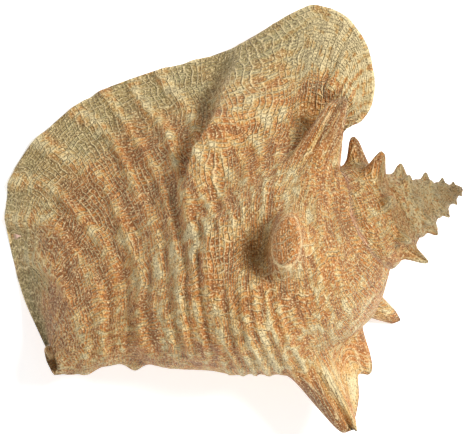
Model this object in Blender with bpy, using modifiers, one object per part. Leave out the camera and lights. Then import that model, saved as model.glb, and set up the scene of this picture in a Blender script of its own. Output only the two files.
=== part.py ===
import bpy
import numpy as np
from math import pi, radians, cos, sin

# Queen conch type shell, grown as one piece. All lengths here are millimetres.
# The shell coils round an axis that runs from the apex (station 0) to the end of the siphonal canal.
# A turn is one full coil: 0 is the side that carries the big spine, growth goes up to LIP_TURN.

AXIS_SLOPE = 20.0        # slant of the coil axis across the top view, degrees
AXIS_BEND = 9.8          # how far the canal end bends away from the straight axis
REST_ROLL = 1.71         # turns that put the three resting spots level, degrees
REST_PITCH = -6.60
REST_CUT = 1.0           # depth ground off where the shell rests
CORE_TURN = 0.02         # the coil is solid up to here and hollow after it
CANAL_TURN = -0.42       # the canal tube starts here
LIP_TURN = 0.80
SHOULDER = 0.30          # share of the section, suture to canal, that lies above the shoulder
WALL = 3.4
VOXEL = 1.15
TRIANGLE_SHARE = 0.038

# The shoulder line: turn, station along the axis, radius.
SHOULDER_LINE = np.array([
    (-5.6, 0.4, 0.8), (-5.0, 2.6, 2.4), (-4.0, 6.6, 4.7), (-3.0, 12.6, 8.2), (-2.0, 21.6, 13.0),
    (-1.5, 27.6, 16.8), (-1.0, 36.0, 20.2), (-0.75, 39.0, 24.0), (-0.6, 40.5, 27.3), (-0.5, 45.0, 30.0),
    (-0.385, 48.5, 35.0), (-0.29, 53.5, 39.5), (-0.2, 59.5, 43.5), (-0.125, 67.0, 47.0), (-0.06, 79.0, 49.0),
    (0.0, 98.0, 50.0), (0.14, 99.0, 51.0), (0.27, 91.0, 52.0), (0.36, 77.0, 51.5), (0.43, 62.0, 49.0),
    (0.6, 50.0, 46.0), (0.9, 45.0, 44.0)])
# Where each section ends: turn, station, radius there.
CANAL_LINE = np.array([
    (-5.6, 2.0, 0.4), (-4.0, 15.0, 1.0), (-3.0, 30.0, 1.6), (-2.0, 50.0, 2.5), (-1.5, 68.0, 3.0),
    (-1.0, 95.0, 4.0), (-0.75, 130.0, 5.0), (-0.6, 165.0, 6.0), (-0.47, 205.0, 6.6), (-0.42, 220.0, 7.0),
    (-0.25, 221.5, 7.2), (0.0, 220.0, 8.0), (0.14, 217.0, 8.6), (0.3, 216.3, 8.6), (0.45, 218.0, 8.6), (0.9, 219.0, 8.6)])
# The section below the shoulder: share of its length, share of the shoulder radius.
SIDE_PROFILE = np.array([
    (0.0, 1.0), (0.08, 1.012), (0.16, 1.005), (0.26, 0.94), (0.37, 0.80), (0.48, 0.64), (0.58, 0.52),
    (0.66, 0.374), (0.73, 0.301), (0.80, 0.285), (0.87, 0.265), (0.94, 0.205), (1.0, 0.15)])
# The lip's edge: place along the section, station, distance out from the axis, height towards the back of the shell.
LIP_EDGE = np.array([
    (-0.4286, 53, 24, -14), (-0.38, 54, 35, -15), (-0.33, 51, 43.5, -13), (-0.28, 45, 49, -9),
    (-0.24, 38, 49.5, -6), (-0.19, 28.5, 56, -4), (-0.13, 23.5, 69, -3), (-0.06, 22, 83, -3),
    (0.0, 25, 96, -5), (0.045, 33, 105.5, -8), (0.08, 41.5, 110, -11), (0.12, 52, 109, -15),
    (0.17, 65, 106.5, -19), (0.22, 79.5, 104.3, -23), (0.30, 99, 106, -27), (0.38, 120, 108.5, -30.5),
    (0.48, 146.5, 110.5, -32), (0.56, 163, 109, -31), (0.66, 186, 102, -28.5), (0.73, 201, 95, -27),
    (0.79, 211, 85, -26), (0.84, 217, 72, -26), (0.90, 221, 51, -26), (0.95, 222, 32, -23),
    (0.98, 220.5, 18, -14), (1.0, 219.5, 7.6, -5.5)])
# Spines: turn, length, half width round the shell, half width along it, lean to the apex, lean with growth, bluntness.
SPINES = [
    (0.425, 28, 9.0, 8.5, 48, 8, 1.4),
    (0.268, 21, 19, 12.0, 0, 0, 1.4),
    (-0.005, 41, 15, 13.5, 6, 0, 0.35),
    (-0.062, 24.5, 8.5, 8.5, 12, 4.3, 0.2),
    (-0.13, 29.3, 8.5, 8.5, 31.5, 7, 0.2),
    (-0.205, 8, 8, 8, 24, 0, 0.5),
    (-0.29, 11.5, 8, 8, 20, 0, 0.5),
    (-0.385, 8, 7, 7, 20, 0, 0.5),
    (-0.495, 12.5, 6, 6, 12, 0, 0.2),
    (-0.603, 13.5, 5.5, 5.5, 36, 0, 0.2),
    (-0.715, 11, 5, 5, 18, 0, 0.2),
    (-0.83, 10, 4.5, 4.5, 20, 0, 0.2),
    (-0.95, 11.5, 4.6, 4.6, 38, 0, 0.2)]
SMALL_SPINE_STEP = 0.112
# How a spine's height falls away from its middle: distance, height of a sharp one, height of a blunt one.
SPINE_SHAPE = np.array([
    (0, 1, 1), (0.18, 0.97, 0.99), (0.32, 0.86, 0.96), (0.45, 0.67, 0.88), (0.58, 0.45, 0.72), (0.72, 0.25, 0.45),
    (0.88, 0.11, 0.2), (1.1, 0.04, 0.06), (1.4, 0.008, 0.01), (1.8, 0, 0)])
# The crease down the back of the big spine: where it lies and half its width, in half widths of the spine, its depth.
CREASE_SPINE = -0.005
CREASE_ASIDE = -0.12
CREASE_WIDTH = 0.13
CREASE_DEPTH = 5.0
# Hollows beside the two upper spines: turn, place, half width, depth.
DIMPLES = [(0.285, 0.13, 13.5, 13.0), (0.56, 0.065, 9.0, 5.0)]
# The crest of the long fold: turn, place, height.
FOLD_CREST = np.array([
    (0.36, 0.41, 0.0), (0.44, 0.39, 3.5), (0.485, 0.374, 7.0), (0.545, 0.326, 10.5), (0.585, 0.282, 11.5),
    (0.67, 0.258, 9.5), (0.743, 0.228, 6.0), (0.80, 0.215, 2.5)])
# The arch over the upper spine: place, turn, height.
ARCH_CREST = np.array([(-0.30, 0.74, 0), (-0.19, 0.689, 2.5), (-0.147, 0.662, 4.5), (0.0, 0.602, 7.0),
                       (0.05, 0.593, 6.0), (0.11, 0.585, 2.5), (0.18, 0.58, 0)])
# Places of the ribs along the section, the first and last only set the spacing.
RIB_PLACES = np.array([(0.26, 0), (0.335, 1), (0.40, 2), (0.465, 3), (0.535, 4), (0.63, 5), (0.72, 6), (0.80, 7),
                       (0.88, 8), (0.96, 9)])
RIB_AT_LIP = 2.8
RIB_ON_BACK = 2.1
SHORT_RIB = 1.0
WING_RIB = 1.6
KNOB_HEIGHT = 4.5


def curve_through(table, column, place):
    # a smooth line through the table's points that never overshoots them
    xs = table[:, 0]
    ys = table[:, column]
    place = np.clip(place, xs[0], xs[-1])
    step = np.diff(xs)
    slope = np.diff(ys) / step
    tangent = np.empty_like(ys)
    tangent[0] = slope[0]
    tangent[-1] = slope[-1]
    before, after = slope[:-1], slope[1:]
    w1 = 2 * step[1:] + step[:-1]
    w2 = step[1:] + 2 * step[:-1]
    same = before * after > 0
    safe_before = np.where(same, before, 1.0)
    safe_after = np.where(same, after, 1.0)
    tangent[1:-1] = np.where(same, (w1 + w2) / (w1 / safe_before + w2 / safe_after), 0.0)
    i = np.clip(np.searchsorted(xs, place) - 1, 0, len(xs) - 2)
    u = (place - xs[i]) / step[i]
    return ((2 * u**3 - 3 * u**2 + 1) * ys[i] + (u**3 - 2 * u**2 + u) * step[i] * tangent[i]
            + (3 * u**2 - 2 * u**3) * ys[i + 1] + (u**3 - u**2) * step[i] * tangent[i + 1])


def fade(start, end, value):
    u = np.clip((value - start) / (end - start), 0, 1)
    return u * u * (3 - 2 * u)


def suture_at(turn):
    # station and radius where this turn leaves the one before it
    tuck = 0.55 + 0.2 * fade(0.0, 0.22, turn) - 0.3 * fade(0.26, 0.42, turn)
    before_radius = curve_through(SHOULDER_LINE, 2, turn - 1)
    swell = 1 + 0.18 * (1 - fade(0.25, 0.5, turn))
    return curve_through(SHOULDER_LINE, 1, turn - 1) + tuck * before_radius, before_radius * swell


def coil(turn, across):
    # the plain coil: across runs from the suture (0) over the shoulder to the canal's end (1)
    station = curve_through(SHOULDER_LINE, 1, turn)
    radius = curve_through(SHOULDER_LINE, 2, turn)
    end_station = curve_through(CANAL_LINE, 1, turn)
    end_radius = curve_through(CANAL_LINE, 2, turn)
    suture_station, suture_radius = suture_at(turn)
    up = np.clip(across / SHOULDER, 0, 1)
    down = np.clip((across - SHOULDER) / (1 - SHOULDER), 0, 1)
    fullness = 1.5 + 1.3 * fade(-0.5, -0.1, turn)
    ramp_radius = suture_radius + (radius - suture_radius) * (1 - (1 - up)**fullness)
    ramp_station = suture_station + (station - suture_station) * up
    side_radius = end_radius + (curve_through(SIDE_PROFILE, 1, down) - 0.15) / 0.85 * (radius - end_radius)
    side_station = station + down * (end_station - station)
    below = np.clip((side_station - station) / radius, 0, 2)
    swelling = 0.22 * radius * fade(0, 0.5, below) * (1 - fade(0.8, 1.6, below))
    side_radius = side_radius + swelling * (1 - fade(-0.75, -0.5, turn))
    on_ramp = across < SHOULDER
    r = np.where(on_ramp, ramp_radius, side_radius)
    s = np.where(on_ramp, ramp_station, side_station)
    angle = 2 * pi * turn - pi / 2
    return np.stack([r * np.cos(angle), r * np.sin(angle), s], -1)


def flare_start(place):
    return np.interp(place, [-0.43, 0, 0.15, 0.3, 1.0], [0.45, 0.45, 0.38, 0.33, 0.30])


def plain_sheet(turn, across):
    # the coil, which from flare_start on leaves its circle and spreads out to the lip's edge
    place = (across - SHOULDER) / (1 - SHOULDER)
    start = flare_start(place)
    coiled = coil(np.minimum(turn, start), across)
    way = np.clip((turn - start) / (LIP_TURN - start), 0, 1)[..., None]
    here = coil(start, across)
    heading = here - coil(start - 1e-3, across)
    heading /= np.linalg.norm(heading, axis=-1, keepdims=True) + 1e-12
    edge = np.stack([curve_through(LIP_EDGE, k, place) for k in (3, 2, 1)], -1)
    along = np.stack([curve_through(LIP_EDGE, k, place + 0.05) - curve_through(LIP_EDGE, k, place - 0.05)
                      for k in (3, 2, 1)], -1)
    outward = np.stack([np.zeros_like(place), along[..., 2], -along[..., 1]], -1)
    outward /= np.linalg.norm(outward, axis=-1, keepdims=True) + 1e-12
    outward[..., 0] = np.interp(place, [-0.43, 0.0, 0.2, 0.4, 1.0], [-0.1, 0.1, -0.15, -0.22, -0.3])
    reach = np.linalg.norm(edge - here, axis=-1, keepdims=True)
    flared = ((2 * way**3 - 3 * way**2 + 1) * here + (way**3 - 2 * way**2 + way) * heading * reach * 0.85
              + (3 * way**2 - 2 * way**3) * edge + (way**3 - way**2) * outward * reach * 0.7)
    return np.where((turn > start)[..., None], flared, coiled)


def normals_of(points):
    along_turn = np.gradient(points, axis=0)
    along_section = np.gradient(points, axis=1)
    n = np.cross(along_turn, along_section)
    return n / (np.linalg.norm(n, axis=-1, keepdims=True) + 1e-12)


def all_spines():
    # the big spines, then the small knobs of the older turns, sized by the turn's radius
    rows = list(SPINES)
    turn = SPINES[-1][0] - SMALL_SPINE_STEP
    while turn > -5.1:
        radius = float(curve_through(SHOULDER_LINE, 2, turn))
        rows.append((turn, 0.34 * radius + 0.4, 0.24 * radius + 0.2, 0.21 * radius + 0.2, 20, 0, 0.3))
        turn -= SMALL_SPINE_STEP
    return rows


def raise_spines(turn, across):
    # pulls grid lines in towards each spine so its flank is sampled evenly, and gives the push that raises it
    push = np.zeros(turn.shape + (3,))
    rings = np.linspace(0, 1.8, 181)
    for at, length, half_round, half_along, lean, onward, blunt in all_spines():
        height = SPINE_SHAPE[:, 1] * (1 - blunt) + SPINE_SHAPE[:, 2] * blunt
        profile = np.stack([SPINE_SHAPE[:, 0], height], -1)
        shape = curve_through(profile, 1, rings)
        radius = float(curve_through(SHOULDER_LINE, 2, at))
        station = float(curve_through(SHOULDER_LINE, 1, at))
        end_station = float(curve_through(CANAL_LINE, 1, at))
        suture_station, suture_radius = (float(x) for x in suture_at(at))
        below = (end_station - station) / (1 - SHOULDER)
        above = max(station - suture_station, 0.45 * (radius - suture_radius)) / SHOULDER
        a = (turn - at) * 2 * pi * radius / half_round
        b = (across - SHOULDER) * np.where(across > SHOULDER, below, above) / half_along
        q = np.hypot(a, b)
        width = (half_round + half_along) / 2
        flank = np.concatenate([[0], np.cumsum(np.hypot(np.diff(rings) * width, np.diff(shape) * length))])
        flank = 0.75 * flank / flank[-1] * 1.8 + 0.25 * rings
        pull = np.where(q < 1.8, np.interp(q, flank, rings) / np.maximum(q, 1e-9), 1.0)
        pull = np.where(q < 1e-6, rings[1] / flank[1], pull)
        turn = at + (turn - at) * pull
        across = SHOULDER + (across - SHOULDER) * pull
        height = curve_through(profile, 1, np.minimum(q * pull, 1.8)) * length
        if at == CREASE_SPINE:
            from_crease = (b * pull - CREASE_ASIDE) / CREASE_WIDTH
            front = fade(0.1, 0.4, height / length) * fade(0.0, 0.1, a * pull)
            push[..., 0] -= CREASE_DEPTH * np.exp(-from_crease**2) * front
        angle = 2 * pi * at - pi / 2
        tilt, ahead = radians(lean), radians(onward)
        direction = np.array([cos(angle) * cos(tilt) * cos(ahead) - sin(angle) * sin(ahead),
                              sin(angle) * cos(tilt) * cos(ahead) + cos(angle) * sin(ahead), -sin(tilt)])
        push += height[..., None] * direction
    return turn, across, push


def relief(turn, across, points):
    # height above the plain sheet: the long fold, the arch by the upper spine, the ribs, and the hollows
    place = (across - SHOULDER) / (1 - SHOULDER)
    from_fold = place - curve_through(FOLD_CREST, 1, turn)
    fold = np.where(from_fold < 0, np.exp(-(from_fold / 0.085)**2), np.exp(-(from_fold / 0.024)**2))
    height = curve_through(FOLD_CREST, 2, turn) * (fold - 0.3 * np.exp(-((from_fold - 0.062) / 0.03)**2))
    from_arch = turn - curve_through(ARCH_CREST, 1, place)
    height += curve_through(ARCH_CREST, 2, place) * np.where(from_arch < 0, np.exp(-(from_arch / 0.028)**2),
                                                             np.exp(-(from_arch / 0.05)**2))
    wander = 0.007 * np.sin(9 * turn + 14 * place) + 0.005 * np.sin(23 * turn + 31 * place)
    count = curve_through(RIB_PLACES, 1, place + wander - 0.04 * fade(0.62, 0.8, turn))
    ribs = (0.5 + 0.5 * np.cos(2 * pi * count))**1.8
    patchy = 0.75 + 0.25 * np.sin(7 * turn + 40 * place)
    in_field = fade(0.27, 0.34, place) * (1 - fade(0.84, 0.93, place)) * fade(0.05, 0.2, turn)
    height += (RIB_ON_BACK + (RIB_AT_LIP - RIB_ON_BACK) * fade(0.35, 0.6, turn)) * patchy * ribs * in_field
    short_ribs = (0.5 + 0.5 * np.cos(2 * pi * (place - 0.08 * turn + 0.006 * np.sin(31 * turn)) / 0.048))**1.6
    short_ribs *= fade(-0.02, 0.05, turn) * (1 - fade(0.2, 0.3, turn))
    short_ribs *= fade(0.0, 0.08, place) * (1 - fade(0.3, 0.4, place))
    wing_ribs = (0.5 + 0.5 * np.cos(2 * pi * place / 0.034)) * (1 - fade(0.0, 0.08, place)) * fade(0.58, 0.7, turn)
    height += SHORT_RIB * short_ribs + WING_RIB * wing_ribs
    knob = np.hypot((turn + 0.005) * 2 * pi * 22 / 5.0, (place - 0.675) * 125 / 5.0)
    height += KNOB_HEIGHT * np.exp(-knob**2)
    for at, spot, width, depth in DIMPLES:
        centre = plain_sheet(np.array([at]), np.array([SHOULDER + spot * (1 - SHOULDER)]))[0]
        away = np.linalg.norm(points - centre, axis=-1) / width
        height -= depth * np.exp(-away**2)
    return height


def to_world(points):
    # axis frame to the resting frame: the back of the shell faces up and the apex points along +X
    f, u, s = points[..., 0], points[..., 1], points[..., 2]
    a = radians(AXIS_SLOPE)
    p = -u + AXIS_BEND * (np.clip(s, 0, None) / 220)**2
    x = -s * cos(a) + p * sin(a)
    y = -s * sin(a) - p * cos(a)
    roll, pitch = radians(REST_ROLL), radians(REST_PITCH)
    y, z = y * cos(roll) - f * sin(roll), y * sin(roll) + f * cos(roll)
    x, z = x * cos(pitch) + z * sin(pitch), -x * sin(pitch) + z * cos(pitch)
    return np.stack([x, y, z], -1)


def shell_surface(turns, rows):
    # rings of points, one for each turn value: out over the section, then back along the inside
    turn, across = np.meshgrid(turns, rows, indexing="ij")
    turn0, across0 = turn.copy(), across.copy()
    turn, across, push = raise_spines(turn, across)
    plain = plain_sheet(turn, across)
    outer = plain + normals_of(plain) * relief(turn, across, plain)[..., None] + push
    bare = plain_sheet(turn0, across0)
    lift = relief(turn0, across0, bare)
    place = (across0 - SHOULDER) / (1 - SHOULDER)
    wall = WALL * np.interp(place, [0, 0.7, 0.9, 1.0], [1, 0.9, 0.7, 0.62]) * (1 - 0.15 * fade(0.6, 0.8, turn0))
    inner = bare + normals_of(bare) * (np.where(lift > 0, np.minimum(lift, 3.0) * 0.8, lift) - wall)[..., None]
    # the old turns are filled to the axis, apart from the bore of the canal
    r = np.hypot(outer[..., 0], outer[..., 1])
    bore = np.clip(r - 2.3, 0, None) * fade(198, 206, outer[..., 2]) * (turn0 > CANAL_TURN)
    filled = outer.copy()
    filled[..., :2] *= (bore / np.maximum(r, 1e-9))[..., None]
    solid = (turn0 < CORE_TURN)[..., None]
    inner = np.where(solid, filled, inner)
    # rounding of the lip's edge
    ahead = outer[-1] - outer[-2]
    ahead /= np.linalg.norm(ahead, axis=-1, keepdims=True) + 1e-12
    middle = (outer[-1] + inner[-1]) / 2
    half = (outer[-1] - inner[-1]) / 2
    size = np.linalg.norm(half, axis=-1, keepdims=True)
    outer_rim = [middle + half * cos(k) + ahead * size * sin(k) for k in (0.5, 1.0, 1.4)]
    inner_rim = [middle - half * cos(k) + ahead * size * sin(k) for k in (0.5, 1.0, 1.4)]
    outer = np.concatenate([outer, np.array(outer_rim)])
    inner = np.concatenate([inner, np.array(inner_rim)])
    return np.concatenate([outer, inner[:, ::-1]], axis=1)


def closed_tube(rings):
    # faces that join ring to ring, a cap at the apex, and the strip that closes the lip
    count, size = rings.shape[:2]
    i, j = np.meshgrid(np.arange(count - 1), np.arange(size), indexing="ij")
    k = (j + 1) % size
    quads = np.stack([i * size + j, (i + 1) * size + j, (i + 1) * size + k, i * size + k], -1).reshape(-1, 4)
    half = size // 2
    m = np.arange(half - 1)
    last = (count - 1) * size
    strip = np.stack([last + m, last + size - 1 - m, last + size - 2 - m, last + m + 1], -1)
    cap = np.stack([m, m + 1, size - 2 - m, size - 1 - m], -1)
    return np.concatenate([quads, strip, cap])


def clear_scene():
    for obj in list(bpy.data.objects):
        bpy.data.objects.remove(obj, do_unlink=True)


def new_collection(name):
    collection = bpy.data.collections.new(name)
    bpy.context.scene.collection.children.link(collection)
    return collection


def mesh_object(name, points, faces, collection):
    mesh = bpy.data.meshes.new(name)
    mesh.from_pydata((points * 0.001).reshape(-1, 3).tolist(), [], faces.tolist())
    mesh.validate()
    mesh.update()
    obj = bpy.data.objects.new(name, mesh)
    collection.objects.link(obj)
    return obj


clear_scene()
parts = new_collection("conch_shell")
cutters = new_collection("cutters")
cutters.hide_render = True

turns = np.concatenate([np.arange(-5.4, -1.1, 0.03), np.arange(-1.1, CORE_TURN - 0.001, 0.01),
                        [CORE_TURN - 1e-4, CORE_TURN + 1e-4], np.arange(CORE_TURN + 0.01, LIP_TURN - 0.001, 0.01),
                        [LIP_TURN]])
rows = np.linspace(0, 1, 120)
rings = to_world(shell_surface(turns, rows))
flat = rings.reshape(-1, 3)
low, high = flat.min(axis=0), flat.max(axis=0)
shift = np.array([(low[0] + high[0]) / 2, (low[1] + high[1]) / 2, low[2] + REST_CUT])
shell = mesh_object("shell", rings - shift, closed_tube(rings), parts)

finish = bpy.data.materials.new("weathered_shell")
finish.use_nodes = True
principled = finish.node_tree.nodes["Principled BSDF"]
principled.inputs["Base Color"].default_value = (0.62, 0.42, 0.25, 1)
principled.inputs["Roughness"].default_value = 0.6
shell.data.materials.append(finish)

# one skin round everything that overlaps, then fewer faces
skin = shell.modifiers.new("skin", "REMESH")
skin.mode = "VOXEL"
skin.voxel_size = VOXEL * 0.001
skin.use_smooth_shade = True
thin = shell.modifiers.new("fewer_faces", "DECIMATE")
thin.ratio = TRIANGLE_SHARE
thin.use_collapse_triangulate = True

# the ground plane takes off the lowest spots, so the shell stands on small flats
corners = np.array([(x, y, z) for x in (-200, 200) for y in (-200, 200) for z in (-30, 0)], float)
box_faces = np.array([(0, 1, 3, 2), (4, 6, 7, 5), (0, 4, 5, 1), (2, 3, 7, 6), (0, 2, 6, 4), (1, 5, 7, 3)])
ground = mesh_object("ground", corners, box_faces, cutters)
ground.display_type = "WIRE"
ground.hide_render = True
rest = shell.modifiers.new("rest_flats", "BOOLEAN")
rest.operation = "DIFFERENCE"
rest.object = ground
rest.solver = "EXACT"
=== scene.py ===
from math import cos, pi, radians, sin

import bpy
import numpy as np
from mathutils import Matrix, Vector


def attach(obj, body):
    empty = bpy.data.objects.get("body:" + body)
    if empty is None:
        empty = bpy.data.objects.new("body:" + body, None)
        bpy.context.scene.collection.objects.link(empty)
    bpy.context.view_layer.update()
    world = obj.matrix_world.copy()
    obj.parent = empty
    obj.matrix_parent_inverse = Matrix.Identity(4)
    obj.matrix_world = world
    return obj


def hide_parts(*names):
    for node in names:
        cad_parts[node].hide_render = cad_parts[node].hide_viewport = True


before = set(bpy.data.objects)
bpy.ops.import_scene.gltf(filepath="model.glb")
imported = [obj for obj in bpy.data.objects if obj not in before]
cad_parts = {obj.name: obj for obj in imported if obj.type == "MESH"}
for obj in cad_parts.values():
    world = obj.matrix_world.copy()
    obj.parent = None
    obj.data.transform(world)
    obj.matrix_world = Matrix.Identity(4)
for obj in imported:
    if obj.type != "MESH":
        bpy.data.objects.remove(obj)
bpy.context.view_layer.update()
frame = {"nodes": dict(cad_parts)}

print("frame loaded, nodes:", ", ".join(frame["nodes"]))

# The shell is one sheet wound round an axis. growth counts turns (0 is the side with the big spine, the lip
# is at lipGrowth), across runs over the section: 0 suture, shoulder 0.3, canal end 1. place is the share of
# the way from the shoulder (0) to the canal end (1), below 0 towards the suture. Lengths are millimetres.
coilShape = {
    "axisSlope": 20.0,        # slant of the coil axis seen from above, degrees
    "axisBend": 9.8,          # how far the canal end bends off the straight axis, at bendStation
    "bendStation": 220,
    "rollToRest": 1.71,       # turns that put the resting spots level, degrees
    "pitchToRest": -6.60,
    "apexFromMiddle": (-111.530, -13.786, -53.798),   # middle of the shell's base, seen from the apex
    "coreGrowth": 0.02,       # solid up to here, hollow after
    "canalGrowth": -0.42,
    "lipGrowth": 0.80,
    "shoulder": 0.30,
    "wall": 3.4,
}
# growth, station along the axis, radius
shoulderLine = np.array([
    (-5.6, 0.4, 0.8), (-5.0, 2.6, 2.4), (-4.0, 6.6, 4.7), (-3.0, 12.6, 8.2), (-2.0, 21.6, 13.0),
    (-1.5, 27.6, 16.8), (-1.0, 36.0, 20.2), (-0.75, 39.0, 24.0), (-0.6, 40.5, 27.3), (-0.5, 45.0, 30.0),
    (-0.385, 48.5, 35.0), (-0.29, 53.5, 39.5), (-0.2, 59.5, 43.5), (-0.125, 67.0, 47.0), (-0.06, 79.0, 49.0),
    (0.0, 98.0, 50.0), (0.14, 99.0, 51.0), (0.27, 91.0, 52.0), (0.36, 77.0, 51.5), (0.43, 62.0, 49.0),
    (0.6, 50.0, 46.0), (0.9, 45.0, 44.0)])
# growth, station and radius where the section ends
canalLine = np.array([
    (-5.6, 2.0, 0.4), (-4.0, 15.0, 1.0), (-3.0, 30.0, 1.6), (-2.0, 50.0, 2.5), (-1.5, 68.0, 3.0),
    (-1.0, 95.0, 4.0), (-0.75, 130.0, 5.0), (-0.6, 165.0, 6.0), (-0.47, 205.0, 6.6), (-0.42, 220.0, 7.0),
    (-0.25, 221.5, 7.2), (0.0, 220.0, 8.0), (0.14, 217.0, 8.6), (0.3, 216.3, 8.6), (0.45, 218.0, 8.6),
    (0.9, 219.0, 8.6)])
# share of the way from shoulder to canal, share of the shoulder radius
sideProfile = np.array([
    (0.0, 1.0), (0.08, 1.012), (0.16, 1.005), (0.26, 0.94), (0.37, 0.80), (0.48, 0.64), (0.58, 0.52),
    (0.66, 0.374), (0.73, 0.301), (0.80, 0.285), (0.87, 0.265), (0.94, 0.205), (1.0, 0.15)])
# What the tables leave out of a section: how far it tucks under the turn before, in that turn's radius, and
# how that changes over the last turn; how much wider than that turn it starts; the power of the ramp up to
# the shoulder; and the swelling of the early sides and where below the shoulder it is, in the shoulder
# radius.
sectionShape = {"tuck": 0.55, "tuckRise": 0.2, "tuckFall": 0.3, "wider": 0.18, "rampPower": 1.5,
                "rampPowerRise": 1.3, "swelling": 0.22, "swellingField": (0, 0.5, 0.8, 1.6)}
# growth over which each of those comes in
sectionSpans = {"tuckRise": (0.0, 0.22), "tuckFall": (0.26, 0.42), "narrowing": (0.25, 0.5),
                "rampPowerRise": (-0.5, -0.1), "sidesStraight": (-0.75, -0.5)}
# place, station, distance out from the axis, height towards the back
lipEdge = np.array([
    (-0.4286, 53, 24, -14), (-0.38, 54, 35, -15), (-0.33, 51, 43.5, -13), (-0.28, 45, 49, -9),
    (-0.24, 38, 49.5, -6), (-0.19, 28.5, 56, -4), (-0.13, 23.5, 69, -3), (-0.06, 22, 83, -3),
    (0.0, 25, 96, -5), (0.045, 33, 105.5, -8), (0.08, 41.5, 110, -11), (0.12, 52, 109, -15),
    (0.17, 65, 106.5, -19), (0.22, 79.5, 104.3, -23), (0.30, 99, 106, -27), (0.38, 120, 108.5, -30.5),
    (0.48, 146.5, 110.5, -32), (0.56, 163, 109, -31), (0.66, 186, 102, -28.5), (0.73, 201, 95, -27),
    (0.79, 211, 85, -26), (0.84, 217, 72, -26), (0.90, 221, 51, -26), (0.95, 222, 32, -23),
    (0.98, 220.5, 18, -14), (1.0, 219.5, 7.6, -5.5)])
# place, growth where the sheet leaves the coil for the lip
flareLine = np.array([(-0.43, 0.45), (0, 0.45), (0.15, 0.38), (0.3, 0.33), (1.0, 0.30)])
# place, upward slope with which the sheet reaches the lip's edge
edgeSlope = np.array([(-0.43, -0.1), (0.0, 0.1), (0.2, -0.15), (0.4, -0.22), (1.0, -0.3)])
flarePull = {"leaving": 0.85, "arriving": 0.7}    # how firmly the lip keeps its direction at each end
# place, share of the wall's thickness
wallLine = np.array([(0, 1), (0.7, 0.9), (0.9, 0.7), (1.0, 0.62)])
lipThinning = {"growth": (0.6, 0.8), "share": 0.15}    # what the wall loses towards the lip's edge
innerRelief = {"highest": 3.0, "share": 0.8}    # how much of the outer relief shows on the inside
canalBore = {"wall": 2.3, "station": (198, 206)}    # its wall, and the stations over which it opens

# growth, length, half width round the shell, half width along it, lean to the apex, lean with growth,
# bluntness, distance from the shoulder line towards the canal. First the upper spine and the blunt one on the
# back, then the big one with its second tip, then the row up to the spire.
bigSpines = [
    (0.425, 26, 9.0, 8.8, 47, 8, 1.6, 2.5),
    (0.268, 21, 19, 12.0, 0, 0, 1.4, 0),
    (-0.005, 41, 15, 13.0, 9.0, 0, 0.35, 3.0),
    (-0.002, 10, 6, 3.6, 5, 0, 0.5, -3.4),
    (-0.062, 24.5, 8.5, 8.5, 12, 4.3, 0.2, 0),
    (-0.13, 29.3, 8.5, 8.5, 31.5, 7, 0.2, 0),
    (-0.205, 8, 8, 8, 24, 0, 0.5, 0),
    (-0.29, 11.5, 8, 8, 20, 0, 0.5, 0),
    (-0.385, 8, 7, 7, 20, 0, 0.5, 0),
    (-0.495, 12.5, 6, 6, 12, 0, 0.2, 0),
    (-0.603, 13.5, 5.5, 5.5, 36, 0, 0.2, 0),
    (-0.715, 11, 5, 5, 18, 0, 0.2, 0),
    (-0.83, 10, 4.5, 4.5, 20, 0, 0.2, 0),
    (-0.95, 11.5, 4.6, 4.6, 38, 0, 0.2, 0)]
# the crease down the big spine's back: where it lies and half its width, in half widths of the spine, its
# depth, the heights on the spine and places round it over which it comes in, and the heights over which the
# painted shade and painted light on its two sides come in
spineCrease = {"spine": -0.005, "aside": -0.12, "width": 0.13, "depth": 5.0, "deepens": (0.1, 0.4),
               "round": (0.0, 0.1), "paintedHeights": (0.05, 0.4)}
# distance from a spine's middle, height of a sharp spine, height of a blunt one
spineShape = np.array([
    (0, 1, 1), (0.18, 0.97, 0.99), (0.32, 0.86, 0.96), (0.45, 0.67, 0.88), (0.58, 0.45, 0.72),
    (0.72, 0.25, 0.45), (0.88, 0.11, 0.2), (1.1, 0.04, 0.06), (1.4, 0.008, 0.01), (1.8, 0, 0)])
flankPull = 0.75     # how far grid lines follow the flank's length rather than the distance
leastRamp = 0.45     # a spine's shape takes the ramp above it as no shorter than this share of its rise
tubeSpine = 0.425    # the upper spine, stained dark
faceSpine = 0.268    # the spine whose flat top carries a stained oval with a pale rim
# the knobs of the spire; height and half widths are a share of the shoulder radius and a fixed part
spireKnobs = {"step": 0.112, "firstGrowth": -5.1, "lean": 20, "bluntness": 0.3,
              "height": (0.34, 0.4), "halfRound": (0.24, 0.2), "halfAlong": (0.21, 0.2)}
# growth, place, half width, depth of the hollows beside the two upper spines
spineHollows = [(0.285, 0.13, 13.5, 13.0), (0.56, 0.065, 9.0, 5.0)]
# the fold's crest from the lip down the back: growth, place, height
foldCrest = np.array([
    (0.36, 0.41, 0.0), (0.44, 0.39, 3.5), (0.485, 0.374, 7.0), (0.545, 0.326, 10.5), (0.585, 0.282, 11.5),
    (0.67, 0.258, 9.5), (0.743, 0.228, 6.0), (0.80, 0.215, 2.5)])
# half widths of the fold on its sloping and its steep side, then the shallow valley along the steep side
foldShape = {"slope": 0.085, "steep": 0.024, "valleyAt": 0.062, "valleyWidth": 0.03, "valley": 0.12}
# the arch over the upper spine: place, growth, height
archCrest = np.array([(-0.30, 0.74, 0), (-0.19, 0.689, 2.5), (-0.147, 0.662, 4.5), (0.0, 0.602, 7.0),
                      (0.05, 0.593, 6.0), (0.11, 0.585, 2.5), (0.18, 0.58, 0)])
archShape = {"backSide": 0.028, "lipSide": 0.05}
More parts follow.
